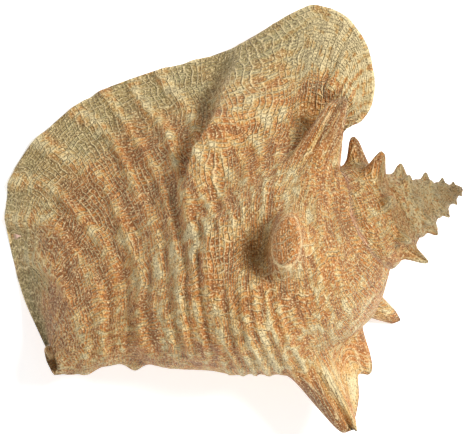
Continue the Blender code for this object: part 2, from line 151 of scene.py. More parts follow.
# places where the ribs of the back run, the first and last only shape the spacing
ribPlaces = np.array([(0.26, 0), (0.335, 1), (0.40, 2), (0.465, 3), (0.535, 4), (0.63, 5), (0.72, 6),
                      (0.80, 7), (0.88, 8), (0.96, 9)])
ribHeights = {"lip": 3.1, "back": 2.1, "fine": 0.4, "short": 1.5, "wing": 1.6, "seam": 1.0}
ribPeriods = {"short": 0.048, "wing": 0.034, "seam": 0.043}
ribPowers = {"back": 1.8, "short": 1.6, "wing": 1, "seam": 3}
# where each kind of rib comes in and goes out, in growth and in place
ribGrowths = {"back": (0.05, 0.2), "lip": (0.35, 0.6), "drift": (0.62, 0.8), "short": (-0.02, 0.05, 0.2, 0.3),
              "wing": (0.58, 0.7), "seam": (0.27, 0.33, 0.56, 0.66)}
ribFields = {"back": (0.27, 0.34, 0.86, 0.95), "short": (0.0, 0.08, 0.3, 0.4), "wing": (0.0, 0.08),
             "seam": (0.02, 0.1), "seamToFold": (-0.03, 0.03)}
ribDrift = 0.04      # how far the ribs shift in place towards the lip's edge
# how far the ribs of the back wander in place, with the sine's turning per unit of growth and of place
ribWander = [(0.007, 9, 14), (0.005, 23, 31)]
# how unequal those ribs are, with the same two numbers, and how the fine ones shift against them
ribPatches = {"share": 0.25, "perGrowth": 7, "perPlace": 40}
fineShift = {"amount": 0.4, "perGrowth": 5}
# the short ribs and the seams run aslant and waver along the growth
shortLine = {"slope": 0.08, "waver": 0.006, "perGrowth": 31}
seamLine = {"growth": 0.30, "place": 0.09, "slope": 0.5, "waver": 0.004, "perGrowth": 40, "edgeSlope": 0.1}
# the small knob at the lower edge; the shell's radius and the section's length there turn places into lengths
edgeKnob = {"growth": -0.005, "place": 0.675, "radius": 22, "sectionLength": 125, "reach": 5.0, "height": 4.5}
# the short crack and the long groove near the suture, where the last turn meets the spire, with the share of
# painted shade the groove gets against the crack
sutureCrack = {"growth": 0.37, "growthReach": 0.035, "place": -0.325, "placeReach": 0.008, "depth": 1.8}
sutureGroove = {"growth": (0.1, 0.18, 0.33, 0.38), "place": -0.382, "placeReach": 0.012, "depth": 1.5,
                "shade": 0.4}
# height, size and seed of the lumps of the worn surface, and the growth they come in over
surfaceLumps = [(0.9, 13.0, 3), (0.5, 5.5, 7), (0.2, 2.4, 9)]
lumpsFrom = (-1.2, -0.4)
# long lumps that follow the sheet, with the lattice points per unit of growth and of place
sheetLumps = {"height": 0.22, "perGrowth": 90, "perPlace": 8, "seed": 11, "growth": (-0.6, 0.0)}

# growth, place, reach in growth, reach in place, amount: orange stains, and pale places below zero
stains = [
    (0.50, 0.79, 0.15, 0.12, 0.9), (0.58, 0.56, 0.11, 0.20, 1.5), (0.40, 0.88, 0.12, 0.08, 0.5),
    (0.38, 0.11, 0.06, 0.07, 0.8), (0.46, 0.14, 0.06, 0.08, 0.6), (0.30, 0.26, 0.07, 0.10, 1.2),
    (0.46, 0.42, 0.08, 0.12, 0.4), (0.22, 0.07, 0.04, 0.035, 0.9), (0.26, -0.03, 0.03, 0.05, 0.9),
    (0.16, 0.20, 0.08, 0.12, 0.5), (0.40, 0.50, 0.16, 0.08, 0.5), (0.20, 0.62, 0.12, 0.12, 0.45),
    (0.42, -0.07, 0.03, 0.08, 0.8), (0.60, 0.02, 0.03, 0.16, 0.8), (0.25, -0.37, 0.14, 0.03, 0.9),
    (0.10, -0.08, 0.12, 0.12, -0.5), (0.30, -0.17, 0.12, 0.08, -0.5), (0.04, -0.04, 0.06, 0.1, -0.5),
    (0.70, -0.02, 0.09, 0.16, -0.9), (0.78, -0.1, 0.08, 0.25, -1.1), (0.76, 0.10, 0.07, 0.08, -0.8),
    (-2.6, 0.2, 1.5, 1.5, -1.1), (0.61, 0.05, 0.025, 0.035, 1.5), (0.25, 0.95, 0.4, 0.08, 0.6),
    (0.47, 0.0, 0.05, 0.06, -0.8), (0.36, -0.02, 0.06, 0.12, -0.9), (0.10, 0.15, 0.08, 0.12, -0.7),
    (0.68, 0.12, 0.1, 0.08, -0.6)]
# how strongly forms stain or are painted: painted shade on one side of the crease and painted light on the
# other, spines (turned to pale over spireGrowth), the upper spine and each millimetre of the arch
formStainsAndShading = {"crease": 2.2, "creaseLitSide": 1.0, "spines": 0.6, "spireGrowth": (-0.5, -0.7), "tube": 0.8,
              "arch": 0.08}
# the pink glaze: growth on the old turn inside the last one, distance past the suture, growth where it stops
# short of the lip's edge
glaze = {"growth": (-1.1, -0.98, -0.37, -0.29), "pastSuture": (-3, 3), "margin": (0.765, 0.79)}
# the worn end of the canal, which has no glaze: station, distance from the axis, how dark painted shade makes
# its inside
wornCanal = {"station": (198, 212), "fromAxis": (11, 16), "shade": 0.55}

meshGrid = {"firstGrowth": -5.4, "fineFrom": -1.1, "spireStep": 0.015, "whorlStep": 0.0066, "lipStep": 0.0041,
            "columns": 168, "spireSkip": 3, "innerSkip": 6}
rimBends = (0.5, 1.0, 1.4)    # angles of the extra rows round the lip's edge


# A monotone cubic through a table's points: each stretch is a Hermite cubic whose end slopes are weighted
# harmonic means of the neighbouring straight slopes.
def curveThrough(table, column, place):
    xs = table[:, 0]
    ys = table[:, column]
    place = np.clip(place, xs[0], xs[-1])
    step = np.diff(xs)
    slope = np.diff(ys) / step
    tangent = np.empty_like(ys)
    tangent[0] = slope[0]
    tangent[-1] = slope[-1]
    before, after = slope[:-1], slope[1:]
    w1 = 2 * step[1:] + step[:-1]
    w2 = step[1:] + 2 * step[:-1]
    same = before * after > 0
    safeBefore = np.where(same, before, 1.0)
    safeAfter = np.where(same, after, 1.0)
    tangent[1:-1] = np.where(same, (w1 + w2) / (w1 / safeBefore + w2 / safeAfter), 0.0)
    i = np.clip(np.searchsorted(xs, place) - 1, 0, len(xs) - 2)
    u = (place - xs[i]) / step[i]
    return ((2 * u**3 - 3 * u**2 + 1) * ys[i] + (u**3 - 2 * u**2 + u) * step[i] * tangent[i]
            + (3 * u**2 - 2 * u**3) * ys[i + 1] + (u**3 - u**2) * step[i] * tangent[i + 1])


# smoothstep from start to end
def fade(start, end, value):
    u = np.clip((value - start) / (end - start), 0, 1)
    return u * u * (3 - 2 * u)


# comes in over the first two numbers of the window and goes out over the last two
def within(window, value):
    return fade(*window[:2], value) * (1 - fade(*window[2:], value))


# e to the minus square of the distance
def bell(distance):
    return np.exp(-distance**2)


# a cosine from 0 to 1 with its peaks at whole numbers, raised to a power
def waves(count, power):
    return (0.5 + 0.5 * np.cos(2 * pi * count))**power


# Value noise: a random number at each whole point of a lattice, blended with smoothstep weights in between,
# from -1 to 1. The random numbers come from mixing the bits of the lattice point's numbers.
def lumpyNoise(points, size, seed):
    scaled = points / size
    base = np.floor(scaled).astype(np.int64)
    t = scaled - base
    t = t * t * (3 - 2 * t)
    total = np.zeros(points.shape[:-1])
    for dx in (0, 1):
        for dy in (0, 1):
            for dz in (0, 1):
                x, y, z = base[..., 0] + dx, base[..., 1] + dy, base[..., 2] + dz
                h = (x * 374761393 + y * 668265263 + z * 2147483647 + seed * 974634777) & 0xFFFFFFFF
                h = ((h ^ (h >> 13)) * 1274126177) & 0xFFFFFFFF
                h = (h ^ (h >> 16)) & 0xFFFF
                weight = (np.where(dx, t[..., 0], 1 - t[..., 0]) * np.where(dy, t[..., 1], 1 - t[..., 1])
                          * np.where(dz, t[..., 2], 1 - t[..., 2]))
                total += weight * (h / 32767.5 - 1)
    return total


# Where a turn leaves the one before it: that turn's shoulder station and a share of its radius more, and a
# radius a little wider than its own.
def sutureAt(growth):
    form, over = sectionShape, sectionSpans
    tuck = (form["tuck"] + form["tuckRise"] * fade(*over["tuckRise"], growth)
            - form["tuckFall"] * fade(*over["tuckFall"], growth))
    beforeRadius = curveThrough(shoulderLine, 2, growth - 1)
    swell = 1 + form["wider"] * (1 - fade(*over["narrowing"], growth))
    return curveThrough(shoulderLine, 1, growth - 1) + tuck * beforeRadius, beforeRadius * swell


# The coil: radius and station follow the tables, the angle is a full circle per unit of growth. From suture
# to shoulder the radius rises as one minus a power, from shoulder to canal it follows sideProfile, and the
# early sides swell just below the shoulder.
def coilPoint(growth, across):
    shoulder = coilShape["shoulder"]
    form, over = sectionShape, sectionSpans
    profileEnd = sideProfile[-1, 1]
    station = curveThrough(shoulderLine, 1, growth)
    radius = curveThrough(shoulderLine, 2, growth)
    endStation = curveThrough(canalLine, 1, growth)
    endRadius = curveThrough(canalLine, 2, growth)
    sutureStation, sutureRadius = sutureAt(growth)
    up = np.clip(across / shoulder, 0, 1)
    down = np.clip((across - shoulder) / (1 - shoulder), 0, 1)
    fullness = form["rampPower"] + form["rampPowerRise"] * fade(*over["rampPowerRise"], growth)
    rampRadius = sutureRadius + (radius - sutureRadius) * (1 - (1 - up)**fullness)
    rampStation = sutureStation + (station - sutureStation) * up
    side = (curveThrough(sideProfile, 1, down) - profileEnd) / (1 - profileEnd)
    sideRadius = endRadius + side * (radius - endRadius)
    sideStation = station + down * (endStation - station)
    below = np.clip((sideStation - station) / radius, 0, 2)
    swelling = form["swelling"] * radius * within(form["swellingField"], below)
    sideRadius = sideRadius + swelling * (1 - fade(*over["sidesStraight"], growth))
    onRamp = across < shoulder
    r = np.where(onRamp, rampRadius, sideRadius)
    s = np.where(onRamp, rampStation, sideStation)
    angle = 2 * pi * growth - pi / 2
    return np.stack([r * np.cos(angle), r * np.sin(angle), s], -1)


# share of the way from the shoulder to the canal end
def placeOf(across):
    return (across - coilShape["shoulder"]) / (1 - coilShape["shoulder"])


# The coil up to flareLine, then a cubic Hermite that leaves along the coil and arrives at lipEdge, square to
# the edge as seen from above.
def plainSheet(growth, across):
    place = placeOf(across)
    start = np.interp(place, flareLine[:, 0], flareLine[:, 1])
    coiled = coilPoint(np.minimum(growth, start), across)
    way = np.clip((growth - start) / (coilShape["lipGrowth"] - start), 0, 1)[..., None]
    here = coilPoint(start, across)
    heading = here - coilPoint(start - 1e-3, across)
    heading /= np.linalg.norm(heading, axis=-1, keepdims=True) + 1e-12
    edge = np.stack([curveThrough(lipEdge, k, place) for k in (3, 2, 1)], -1)
    along = np.stack([curveThrough(lipEdge, k, place + 0.05) - curveThrough(lipEdge, k, place - 0.05)
                      for k in (3, 2, 1)], -1)
    outward = np.stack([np.zeros_like(place), along[..., 2], -along[..., 1]], -1)
    outward /= np.linalg.norm(outward, axis=-1, keepdims=True) + 1e-12
    outward[..., 0] = np.interp(place, edgeSlope[:, 0], edgeSlope[:, 1])
    reach = np.linalg.norm(edge - here, axis=-1, keepdims=True)
    leaving = heading * reach * flarePull["leaving"]
    arriving = outward * reach * flarePull["arriving"]
    flared = ((2 * way**3 - 3 * way**2 + 1) * here + (way**3 - 2 * way**2 + way) * leaving
              + (3 * way**2 - 2 * way**3) * edge + (way**3 - way**2) * arriving)
    return np.where((growth > start)[..., None], flared, coiled)


# the cross product of the steps along growth and across, made one long
def normalsOf(points):
    n = np.cross(np.gradient(points, axis=0), np.gradient(points, axis=1))
    return n / (np.linalg.norm(n, axis=-1, keepdims=True) + 1e-12)


# the big spines, then a knob every step back to the tip of the spire
def allSpines():
    rows = list(bigSpines)
    knobs = spireKnobs
    growth = bigSpines[-1][0] - knobs["step"]
    while growth > knobs["firstGrowth"]:
        radius = float(curveThrough(shoulderLine, 2, growth))
        sizes = [knobs[name][0] * radius + knobs[name][1] for name in ("height", "halfRound", "halfAlong")]
        rows.append((growth, *sizes, knobs["lean"], 0, knobs["bluntness"], 0))
        growth -= knobs["step"]
    return rows


# Grid lines are pulled in towards each spine by the length of its flank, and each point gets a push along
# the spine's own direction, its length times the profile of the distance from the spine's middle. shares
# tells the finish how far up any spine, the upper one and the oval's one a point is, and its side of the
# crease, the one side painted with shade and the other with light.
def raiseSpines(growth, across):
    shoulder = coilShape["shoulder"]
    push = np.zeros(growth.shape + (3,))
    shares = {name: np.zeros(growth.shape) for name in ("spine", "crease", "oval", "tube")}
    reach = spineShape[-1, 0]
    rings = np.linspace(0, reach, 181)
    for at, length, halfRound, halfAlong, lean, onward, blunt, aside in allSpines():
        height = spineShape[:, 1] * (1 - blunt) + spineShape[:, 2] * blunt
        profile = np.stack([spineShape[:, 0], height], -1)
        shape = curveThrough(profile, 1, rings)
        radius = float(curveThrough(shoulderLine, 2, at))
        station = float(curveThrough(shoulderLine, 1, at))
        endStation = float(curveThrough(canalLine, 1, at))
        sutureStation, sutureRadius = (float(x) for x in sutureAt(at))
        below = (endStation - station) / (1 - shoulder)
        above = max(station - sutureStation, leastRamp * (radius - sutureRadius)) / shoulder
        spot = shoulder + aside / (below if aside > 0 else above)
        # distances round and along the shell in half widths, and both together
        a = (growth - at) * 2 * pi * radius / halfRound
        b = (across - spot) * np.where(across > spot, below, above) / halfAlong
        q = np.hypot(a, b)
        width = (halfRound + halfAlong) / 2
        flank = np.concatenate([[0], np.cumsum(np.hypot(np.diff(rings) * width, np.diff(shape) * length))])
        flank = flankPull * flank / flank[-1] * reach + (1 - flankPull) * rings
        pull = np.where(q < reach, np.interp(q, flank, rings) / np.maximum(q, 1e-9), 1.0)
        pull = np.where(q < 1e-6, rings[1] / flank[1], pull)
        growth = at + (growth - at) * pull
        across = spot + (across - spot) * pull
        share = curveThrough(profile, 1, np.minimum(q * pull, reach))
        if at == spineCrease["spine"]:
            fromCrease = (b * pull - spineCrease["aside"]) / spineCrease["width"]
            front = fade(*spineCrease["deepens"], share) * fade(*spineCrease["round"], a * pull)
            push[..., 0] -= spineCrease["depth"] * bell(fromCrease) * front
            # the crease's one side gets painted shade, the other painted light
            shares["crease"] = fade(*spineCrease["paintedHeights"], share) * np.clip(fromCrease, -1, 1)
        angle = 2 * pi * at - pi / 2
        tilt, ahead = radians(lean), radians(onward)
        direction = np.array([cos(angle) * cos(tilt) * cos(ahead) - sin(angle) * sin(ahead),
                              sin(angle) * cos(tilt) * cos(ahead) + cos(angle) * sin(ahead), -sin(tilt)])
        if at == faceSpine:
            shares["oval"] = share
        if at == tubeSpine:
            shares["tube"] = share
        push += share[..., None] * length * direction
        shares["spine"] = np.maximum(shares["spine"], share)
    return growth, across, push, shares


# Height above the plain sheet: bells across the crest lines of the fold and the arch, waves for each kind of
# rib inside its window, the knob, and, downwards, the crack, the groove and the bells of the spine hollows.
# marks tells the finish how far a point is on a rib and up the arch, and how much painted shade, with brown
# dirt in the spine hollows, darkens it in the crack, the groove and the hollows.
def reliefOf(growth, across, points):
    place = placeOf(across)
    fromFold = place - curveThrough(foldCrest, 1, growth)
    fold = bell(fromFold / np.where(fromFold < 0, foldShape["slope"], foldShape["steep"]))
    valley = foldShape["valley"] * bell((fromFold - foldShape["valleyAt"]) / foldShape["valleyWidth"])
    height = curveThrough(foldCrest, 2, growth) * (fold - valley)
    fromArch = growth - curveThrough(archCrest, 1, place)
    arch = curveThrough(archCrest, 2, place) * bell(
        fromArch / np.where(fromArch < 0, archShape["backSide"], archShape["lipSide"]))
    height += arch
    wander = sum(far * np.sin(perGrowth * growth + perPlace * place)
                 for far, perGrowth, perPlace in ribWander)
    drift = ribDrift * fade(*ribGrowths["drift"], growth)
    count = curveThrough(ribPlaces, 1, place + wander - drift)
    ribs = waves(count, ribPowers["back"])
    uneven = np.sin(ribPatches["perGrowth"] * growth + ribPatches["perPlace"] * place)
    patchy = 1 - ribPatches["share"] + ribPatches["share"] * uneven
    inField = within(ribFields["back"], place) * fade(*ribGrowths["back"], growth)
    size = ribHeights["back"] + (ribHeights["lip"] - ribHeights["back"]) * fade(*ribGrowths["lip"], growth)
    height += size * patchy * ribs * inField
    fineCount = 2 * count + fineShift["amount"] * np.sin(fineShift["perGrowth"] * growth)
    height += ribHeights["fine"] * np.cos(2 * pi * fineCount) * inField
    short = place - shortLine["slope"] * growth + shortLine["waver"] * np.sin(shortLine["perGrowth"] * growth)
    shortRibs = waves(short / ribPeriods["short"], ribPowers["short"])
    shortRibs *= within(ribGrowths["short"], growth) * within(ribFields["short"], place)
    wingRibs = waves(place / ribPeriods["wing"], ribPowers["wing"])
    wingRibs *= (1 - fade(*ribFields["wing"], place)) * fade(*ribGrowths["wing"], growth)
    onward = growth - seamLine["growth"]
    seam = place - seamLine["slope"] * onward - seamLine["place"]
    seam += seamLine["waver"] * np.sin(seamLine["perGrowth"] * growth)
    seams = waves(seam / ribPeriods["seam"], ribPowers["seam"])
    seams *= within(ribGrowths["seam"], growth) * (1 - fade(*ribFields["seamToFold"], fromFold))
    seams *= fade(*ribFields["seam"], place + seamLine["edgeSlope"] * onward)
    height += ribHeights["seam"] * seams
    height += ribHeights["short"] * shortRibs + ribHeights["wing"] * wingRibs
    knob = np.hypot((growth - edgeKnob["growth"]) * 2 * pi * edgeKnob["radius"],
                    (place - edgeKnob["place"]) * edgeKnob["sectionLength"]) / edgeKnob["reach"]
    height += edgeKnob["height"] * bell(knob)
    crack = (bell((place - sutureCrack["place"]) / sutureCrack["placeReach"])
             * bell((growth - sutureCrack["growth"]) / sutureCrack["growthReach"]))
    groove = (bell((place - sutureGroove["place"]) / sutureGroove["placeReach"])
              * within(sutureGroove["growth"], growth))
    height -= sutureCrack["depth"] * crack + sutureGroove["depth"] * groove
    # painted shade in the crack and the groove
    hollow = crack + sutureGroove["shade"] * groove
    for at, spot, width, depth in spineHollows:
        spotAcross = coilShape["shoulder"] + spot * (1 - coilShape["shoulder"])
        centre = plainSheet(np.array([at]), np.array([spotAcross]))[0]
        pit = bell(np.linalg.norm(points - centre, axis=-1) / width)
        height -= depth * pit
        # painted shade with brown dirt in the hollows beside the spines
        hollow = np.maximum(hollow, pit)
    return height, {"rib": ribs * inField + wingRibs + shortRibs + seams, "hollow": hollow, "arch": arch}


# How stained each point is, with painted shading: the sum of the bells in stains, what the spines and the
# arch add, and painted shade on one side of the crease and painted light on the other.
def stainAndShadingAt(growth, place, shares, arch):
    total = np.zeros(growth.shape)
    for at, spot, growthReach, placeReach, amount in stains:
        total += amount * bell(np.hypot((growth - at) / growthReach, (place - spot) / placeReach))
    form = formStainsAndShading
    # painted shade on the crease's one side and painted light on its other side
    total += np.where(shares["crease"] > 0, form["crease"], form["creaseLitSide"]) * shares["crease"]
    total += form["spines"] * shares["spine"] * (1 - 2 * fade(*form["spireGrowth"], growth))
    return total + form["tube"] * shares["tube"] + form["arch"] * arch


# From the axis frame (height to the back, up, station) to the row frame, millimetres: the axis bends with the
# square of the station and turns by its slope, then come roll, pitch and the shift to the middle.
def toRest(points):
    f, u, s = points[..., 0], points[..., 1], points[..., 2]
    a = radians(coilShape["axisSlope"])
    p = -u + coilShape["axisBend"] * (np.clip(s, 0, None) / coilShape["bendStation"])**2
    x = -s * cos(a) + p * sin(a)
    y = -s * sin(a) - p * cos(a)
    roll, pitch = radians(coilShape["rollToRest"]), radians(coilShape["pitchToRest"])
    y, z = y * cos(roll) - f * sin(roll), y * sin(roll) + f * cos(roll)
    x, z = x * cos(pitch) + z * sin(pitch), -x * sin(pitch) + z * cos(pitch)
    return np.stack([x, y, z], -1) - np.array(coilShape["apexFromMiddle"])


# The whole skin: the outer sheet with its relief, the inner one a wall thickness below, and a rounded rim,
# nearly a half circle, between them.
def shellSkin(growthLines, acrossLines):
    growth0, across0 = np.meshgrid(growthLines, acrossLines, indexing="ij")
    growth, across, push, shares = raiseSpines(growth0, across0)
    plain = plainSheet(growth, across)
    relief, marks = reliefOf(growth, across, plain)
    uneven = sum(height * lumpyNoise(plain, size, seed) for height, size, seed in surfaceLumps)
    uneven *= fade(*lumpsFrom, growth)
    lumps, place = sheetLumps, placeOf(across)
    lattice = np.stack([growth * lumps["perGrowth"], place * lumps["perPlace"], np.zeros_like(growth)], -1)
    uneven += lumps["height"] * lumpyNoise(lattice, 1.0, lumps["seed"]) * fade(*lumps["growth"], growth)
    outer = plain + normalsOf(plain) * (relief + uneven)[..., None] + push
    bare = plainSheet(growth0, across0)
    lift = reliefOf(growth0, across0, bare)[0]
    wall = coilShape["wall"] * np.interp(placeOf(across0), wallLine[:, 0], wallLine[:, 1])
    wall *= 1 - lipThinning["share"] * fade(*lipThinning["growth"], growth0)
    lift = np.where(lift > 0, np.minimum(lift, innerRelief["highest"]) * innerRelief["share"], lift)
    inner = bare + normalsOf(bare) * (lift - wall)[..., None]
    # the old turns are filled to the axis, apart from the bore of the canal
    r = np.hypot(outer[..., 0], outer[..., 1])
    bore = np.clip(r - canalBore["wall"], 0, None) * fade(*canalBore["station"], outer[..., 2])
    bore *= growth0 > coilShape["canalGrowth"]
    filled = outer.copy()
    filled[..., :2] *= (bore / np.maximum(r, 1e-9))[..., None]
    inner = np.where((growth0 < coilShape["coreGrowth"])[..., None], filled, inner)
    # the older turn's surface inside the last one is glazed
    pastSuture = outer[..., 2] - sutureAt(growth0 + 1)[0]
    glazed = within(glaze["growth"], growth) * fade(*glaze["pastSuture"], pastSuture)
    # rounding of the lip's edge
    ahead = outer[-1] - outer[-2]
    ahead /= np.linalg.norm(ahead, axis=-1, keepdims=True) + 1e-12
    middle = (outer[-1] + inner[-1]) / 2
    half = (outer[-1] - inner[-1]) / 2
    size = np.linalg.norm(half, axis=-1, keepdims=True)
    outer = np.concatenate([outer, [middle + half * cos(k) + ahead * size * sin(k) for k in rimBends]])
    inner = np.concatenate([inner, [middle - half * cos(k) + ahead * size * sin(k) for k in rimBends]])
    marks["stainAndShading"] = stainAndShadingAt(growth, place, shares, marks.pop("arch"))
    marks.update(growth=growth, place=place, oval=shares["oval"], pink=glazed)
    marks = {name: np.concatenate([values, np.repeat(values[-1:], len(rimBends), axis=0)])
             for name, values in marks.items()}
    return outer, inner, marks


# Polygons between a fine row of points and a coarse one that holds every skip-th of them.
def bridge(fine, coarse, skip):
    count = len(coarse) - 1
    starts = np.arange(count) * skip
    spans = [fine[starts + k] for k in range(skip + 1)]
    return np.stack(spans + [coarse[1:], coarse[:-1]], -1)


# The skin's grid as polygons: all of its points on the last turn, every few of them on the spire and inside,
# with a row of bridging polygons wherever the spacing changes.
def makeShellMesh():
    grid = meshGrid
    core = coilShape["coreGrowth"]
    lipRows = round((coilShape["lipGrowth"] - core) / grid["lipStep"])
    spire = np.arange(grid["firstGrowth"], grid["fineFrom"] - 1e-6, grid["spireStep"])
    whorl = np.arange(grid["fineFrom"], core - 0.002, grid["whorlStep"])
    lip = np.linspace(core + grid["lipStep"], coilShape["lipGrowth"], lipRows)
    # two rows close together where the solid core ends
    growthLines = np.concatenate([spire, whorl, [core - 1e-4, core + 1e-4], lip])
    outer, inner, marks = shellSkin(growthLines, np.linspace(0, 1, grid["columns"] + 1))
    rings = len(outer)
    columns = grid["columns"] + 1
    # every point of the outer sheet, then every point of the inner one
    points = np.concatenate([outer.reshape(-1, 3), inner.reshape(-1, 3)])
    outerAt = np.arange(rings * columns).reshape(rings, columns)
    innerAt = outerAt + rings * columns
    firstFine = len(spire)
    outFine = outerAt[firstFine:]
    inFine = innerAt[firstFine:, ::grid["innerSkip"]]
    outCoarse = outerAt[:firstFine + 1, ::grid["spireSkip"]]
    inCoarse = innerAt[:firstFine + 1, ::grid["innerSkip"]]

    # a quad between each point and its next ones
    def quads(at):
        return np.stack([at[:-1, :-1], at[1:, :-1], at[1:, 1:], at[:-1, 1:]], -1).reshape(-1, 4)

    # the strips that close the wall along the suture and along the canal's end
    def ends(outSide, inSide):
        suture = np.stack([outSide[:-1, 0], inSide[:-1, 0], inSide[1:, 0], outSide[1:, 0]], -1)
        canal = np.stack([outSide[:-1, -1], outSide[1:, -1], inSide[1:, -1], inSide[:-1, -1]], -1)
        return [suture, canal]

    faces = [quads(outFine), quads(inFine)[:, ::-1], quads(outCoarse[:-1]), quads(inCoarse)[:, ::-1]]
    faces += ends(outFine, inFine) + ends(outCoarse[:-1], inCoarse[:-1])
    join = slice(firstFine - 1, firstFine + 1)
    faces += ends(outerAt[join], innerAt[join])
    faces.append(bridge(outerAt[firstFine], outCoarse[-2], grid["spireSkip"]))
    faces.append(bridge(outerAt[-1], innerAt[-1, ::grid["innerSkip"]], grid["innerSkip"])[:, ::-1])
    apexSkip = grid["innerSkip"] // grid["spireSkip"]
    faces.append(bridge(outCoarse[0], inCoarse[0], apexSkip))
    used = np.unique(np.concatenate([f.ravel() for f in faces]))
    renumber = np.full(len(points), -1)
    renumber[used] = np.arange(len(used))
    allFaces = []
    for group in faces:
        allFaces += renumber[group].tolist()
    marks = {name: np.concatenate([v.ravel(), v.ravel()])[used] for name, v in marks.items()}
    inside = np.concatenate([np.zeros(rings * columns), np.ones(rings * columns)])[used]
    points = points[used]
    fromAxis = np.hypot(points[:, 0], points[:, 1])
    canalEnd = fade(*wornCanal["station"], points[:, 2]) * (1 - fade(*wornCanal["fromAxis"], fromAxis))
    glossy = np.maximum(marks["pink"], inside)
    marks["pink"] = glossy * (1 - canalEnd) * (1 - fade(*glaze["margin"], marks["growth"]))
    # painted shade inside the canal's worn end
    marks["hollow"] = np.maximum(marks["hollow"], wornCanal["shade"] * canalEnd * glossy)
    rest = toRest(points)
    # worn flat where it rests on the floor
    rest[:, 2] = np.maximum(rest[:, 2], 0.0)
    mesh = bpy.data.meshes.new("conchSkin")
    mesh.from_pydata((rest * 0.001).tolist(), [], allFaces)
    mesh.update()
    for name, values in marks.items():
        layer = mesh.attributes.new(name, "FLOAT", "POINT")
        layer.data.foreach_set("value", values.astype(np.float32))
    mesh.polygons.foreach_set("use_smooth", np.ones(len(mesh.polygons), bool))
    piece = bpy.data.objects.new("conchSkin", mesh)
    bpy.context.scene.collection.objects.link(piece)
    return piece


conch = makeShellMesh()
conch.data.calc_loop_triangles()
print("shell surface made,", len(conch.data.loop_triangles), "triangles")

shellColours = {
    # from the darkest stain to the palest crest
    "scale": [(0.0, (0.29, 0.095, 0.013)), (0.25, (0.46, 0.15, 0.017)), (0.45, (0.57, 0.22, 0.036)),
              (0.65, (0.62, 0.33, 0.085)), (0.85, (0.70, 0.47, 0.185)), (1.0, (0.80, 0.64, 0.34))],
    "brown": (0.13, 0.06, 0.018),
    # brown of the painted shade and dirt in the hollows
    "shadeAndDirtBrown": (0.50, 0.22, 0.045),
    "olive": (0.29, 0.25, 0.10),
    "chalk": (0.90, 0.71, 0.38),
    "face": (0.56, 0.19, 0.022),
    "pink": (0.80, 0.52, 0.40),
    "roughness": 0.6,
    "glazeRoughness": 0.22,
}
# where the colour scale is read: a start, and how much each pattern and form moves it
paleness = {"start": 0.44, "stainAndShading": -0.3, "cells": 0.45, "clouds": 1.3, "patches": 2.0, "ribs": 0.45,
            "fan": 0.5}
# the noises in space (scale per metre, detail), those on the sheet (scale per unit of growth and of place,
# detail), the lines per unit, and how the fine lines sway and bend
patternScales = {
    "clouds": (42.0, 4.0), "sway": (160.0, 2.0), "grain": (1100.0, 2.0),
    "patches": (46, 30, 4.0), "bends": (7, 6, 3.0), "cells": (38, 42), "cellRandomness": 0.75,
    "cords": 80.0, "growthLines": 104.0, "fan": 38.0, "fanHeight": 3.0, "fanMiddle": 0.45,
    "lineWidth": 0.24, "lineBend": 6.0, "growthSway": 0.006, "placeSway": -0.008,
    "lipSway": 0.2, "ovalSway": 0.25,
}
# the values between which a part of the finish changes and, where it isn't 0 to 1, what it changes from
# and to
finishRamps = {
    "cordBreaks": (0.36, 0.56, 0.15, 1.0), "growthLineBreaks": (0.40, 0.58, 0.15, 1.0),
    "fanPlace": (-0.02, 0.1, 1.0, 0.0), "fanGrowth": (0.58, 0.66),
    "lipGrowth": (0.68, 0.86), "lipPlace": (0.0, 0.2, 0.25, 0.8), "lipRibs": (0.1, 0.8, 1.0, 0.35),
    "face": (0.78, 0.86, 0.0, 0.9), "rimOuter": (0.60, 0.70), "rimInner": (0.74, 0.84, 1.0, 0.0),
    "rimBreaks": (0.35, 0.6, 0.4, 0.9), "hollow": (0.2, 0.9, 0.0, 0.55),
    "paleGrain": (0.52, 0.70, 0.0, 0.8), "darkGrain": (0.30, 0.48, 0.7, 0.0),
}
lineStrengths = {"cords": 0.65, "growthLines": 0.7}
bumps = {"distance": 0.0014, "grain": 0.7}


# one node with its settings and its unlinked inputs set
def addNode(tree, kind, settings=None, inputs=None):
    node = tree.nodes.new(kind)
    for name, value in (settings or {}).items():
        setattr(node, name, value)
    for key, value in (inputs or {}).items():
        if isinstance(value, bpy.types.NodeSocket):
            tree.links.new(value, node.inputs[key])
        else:
            node.inputs[key].default_value = value
    return node
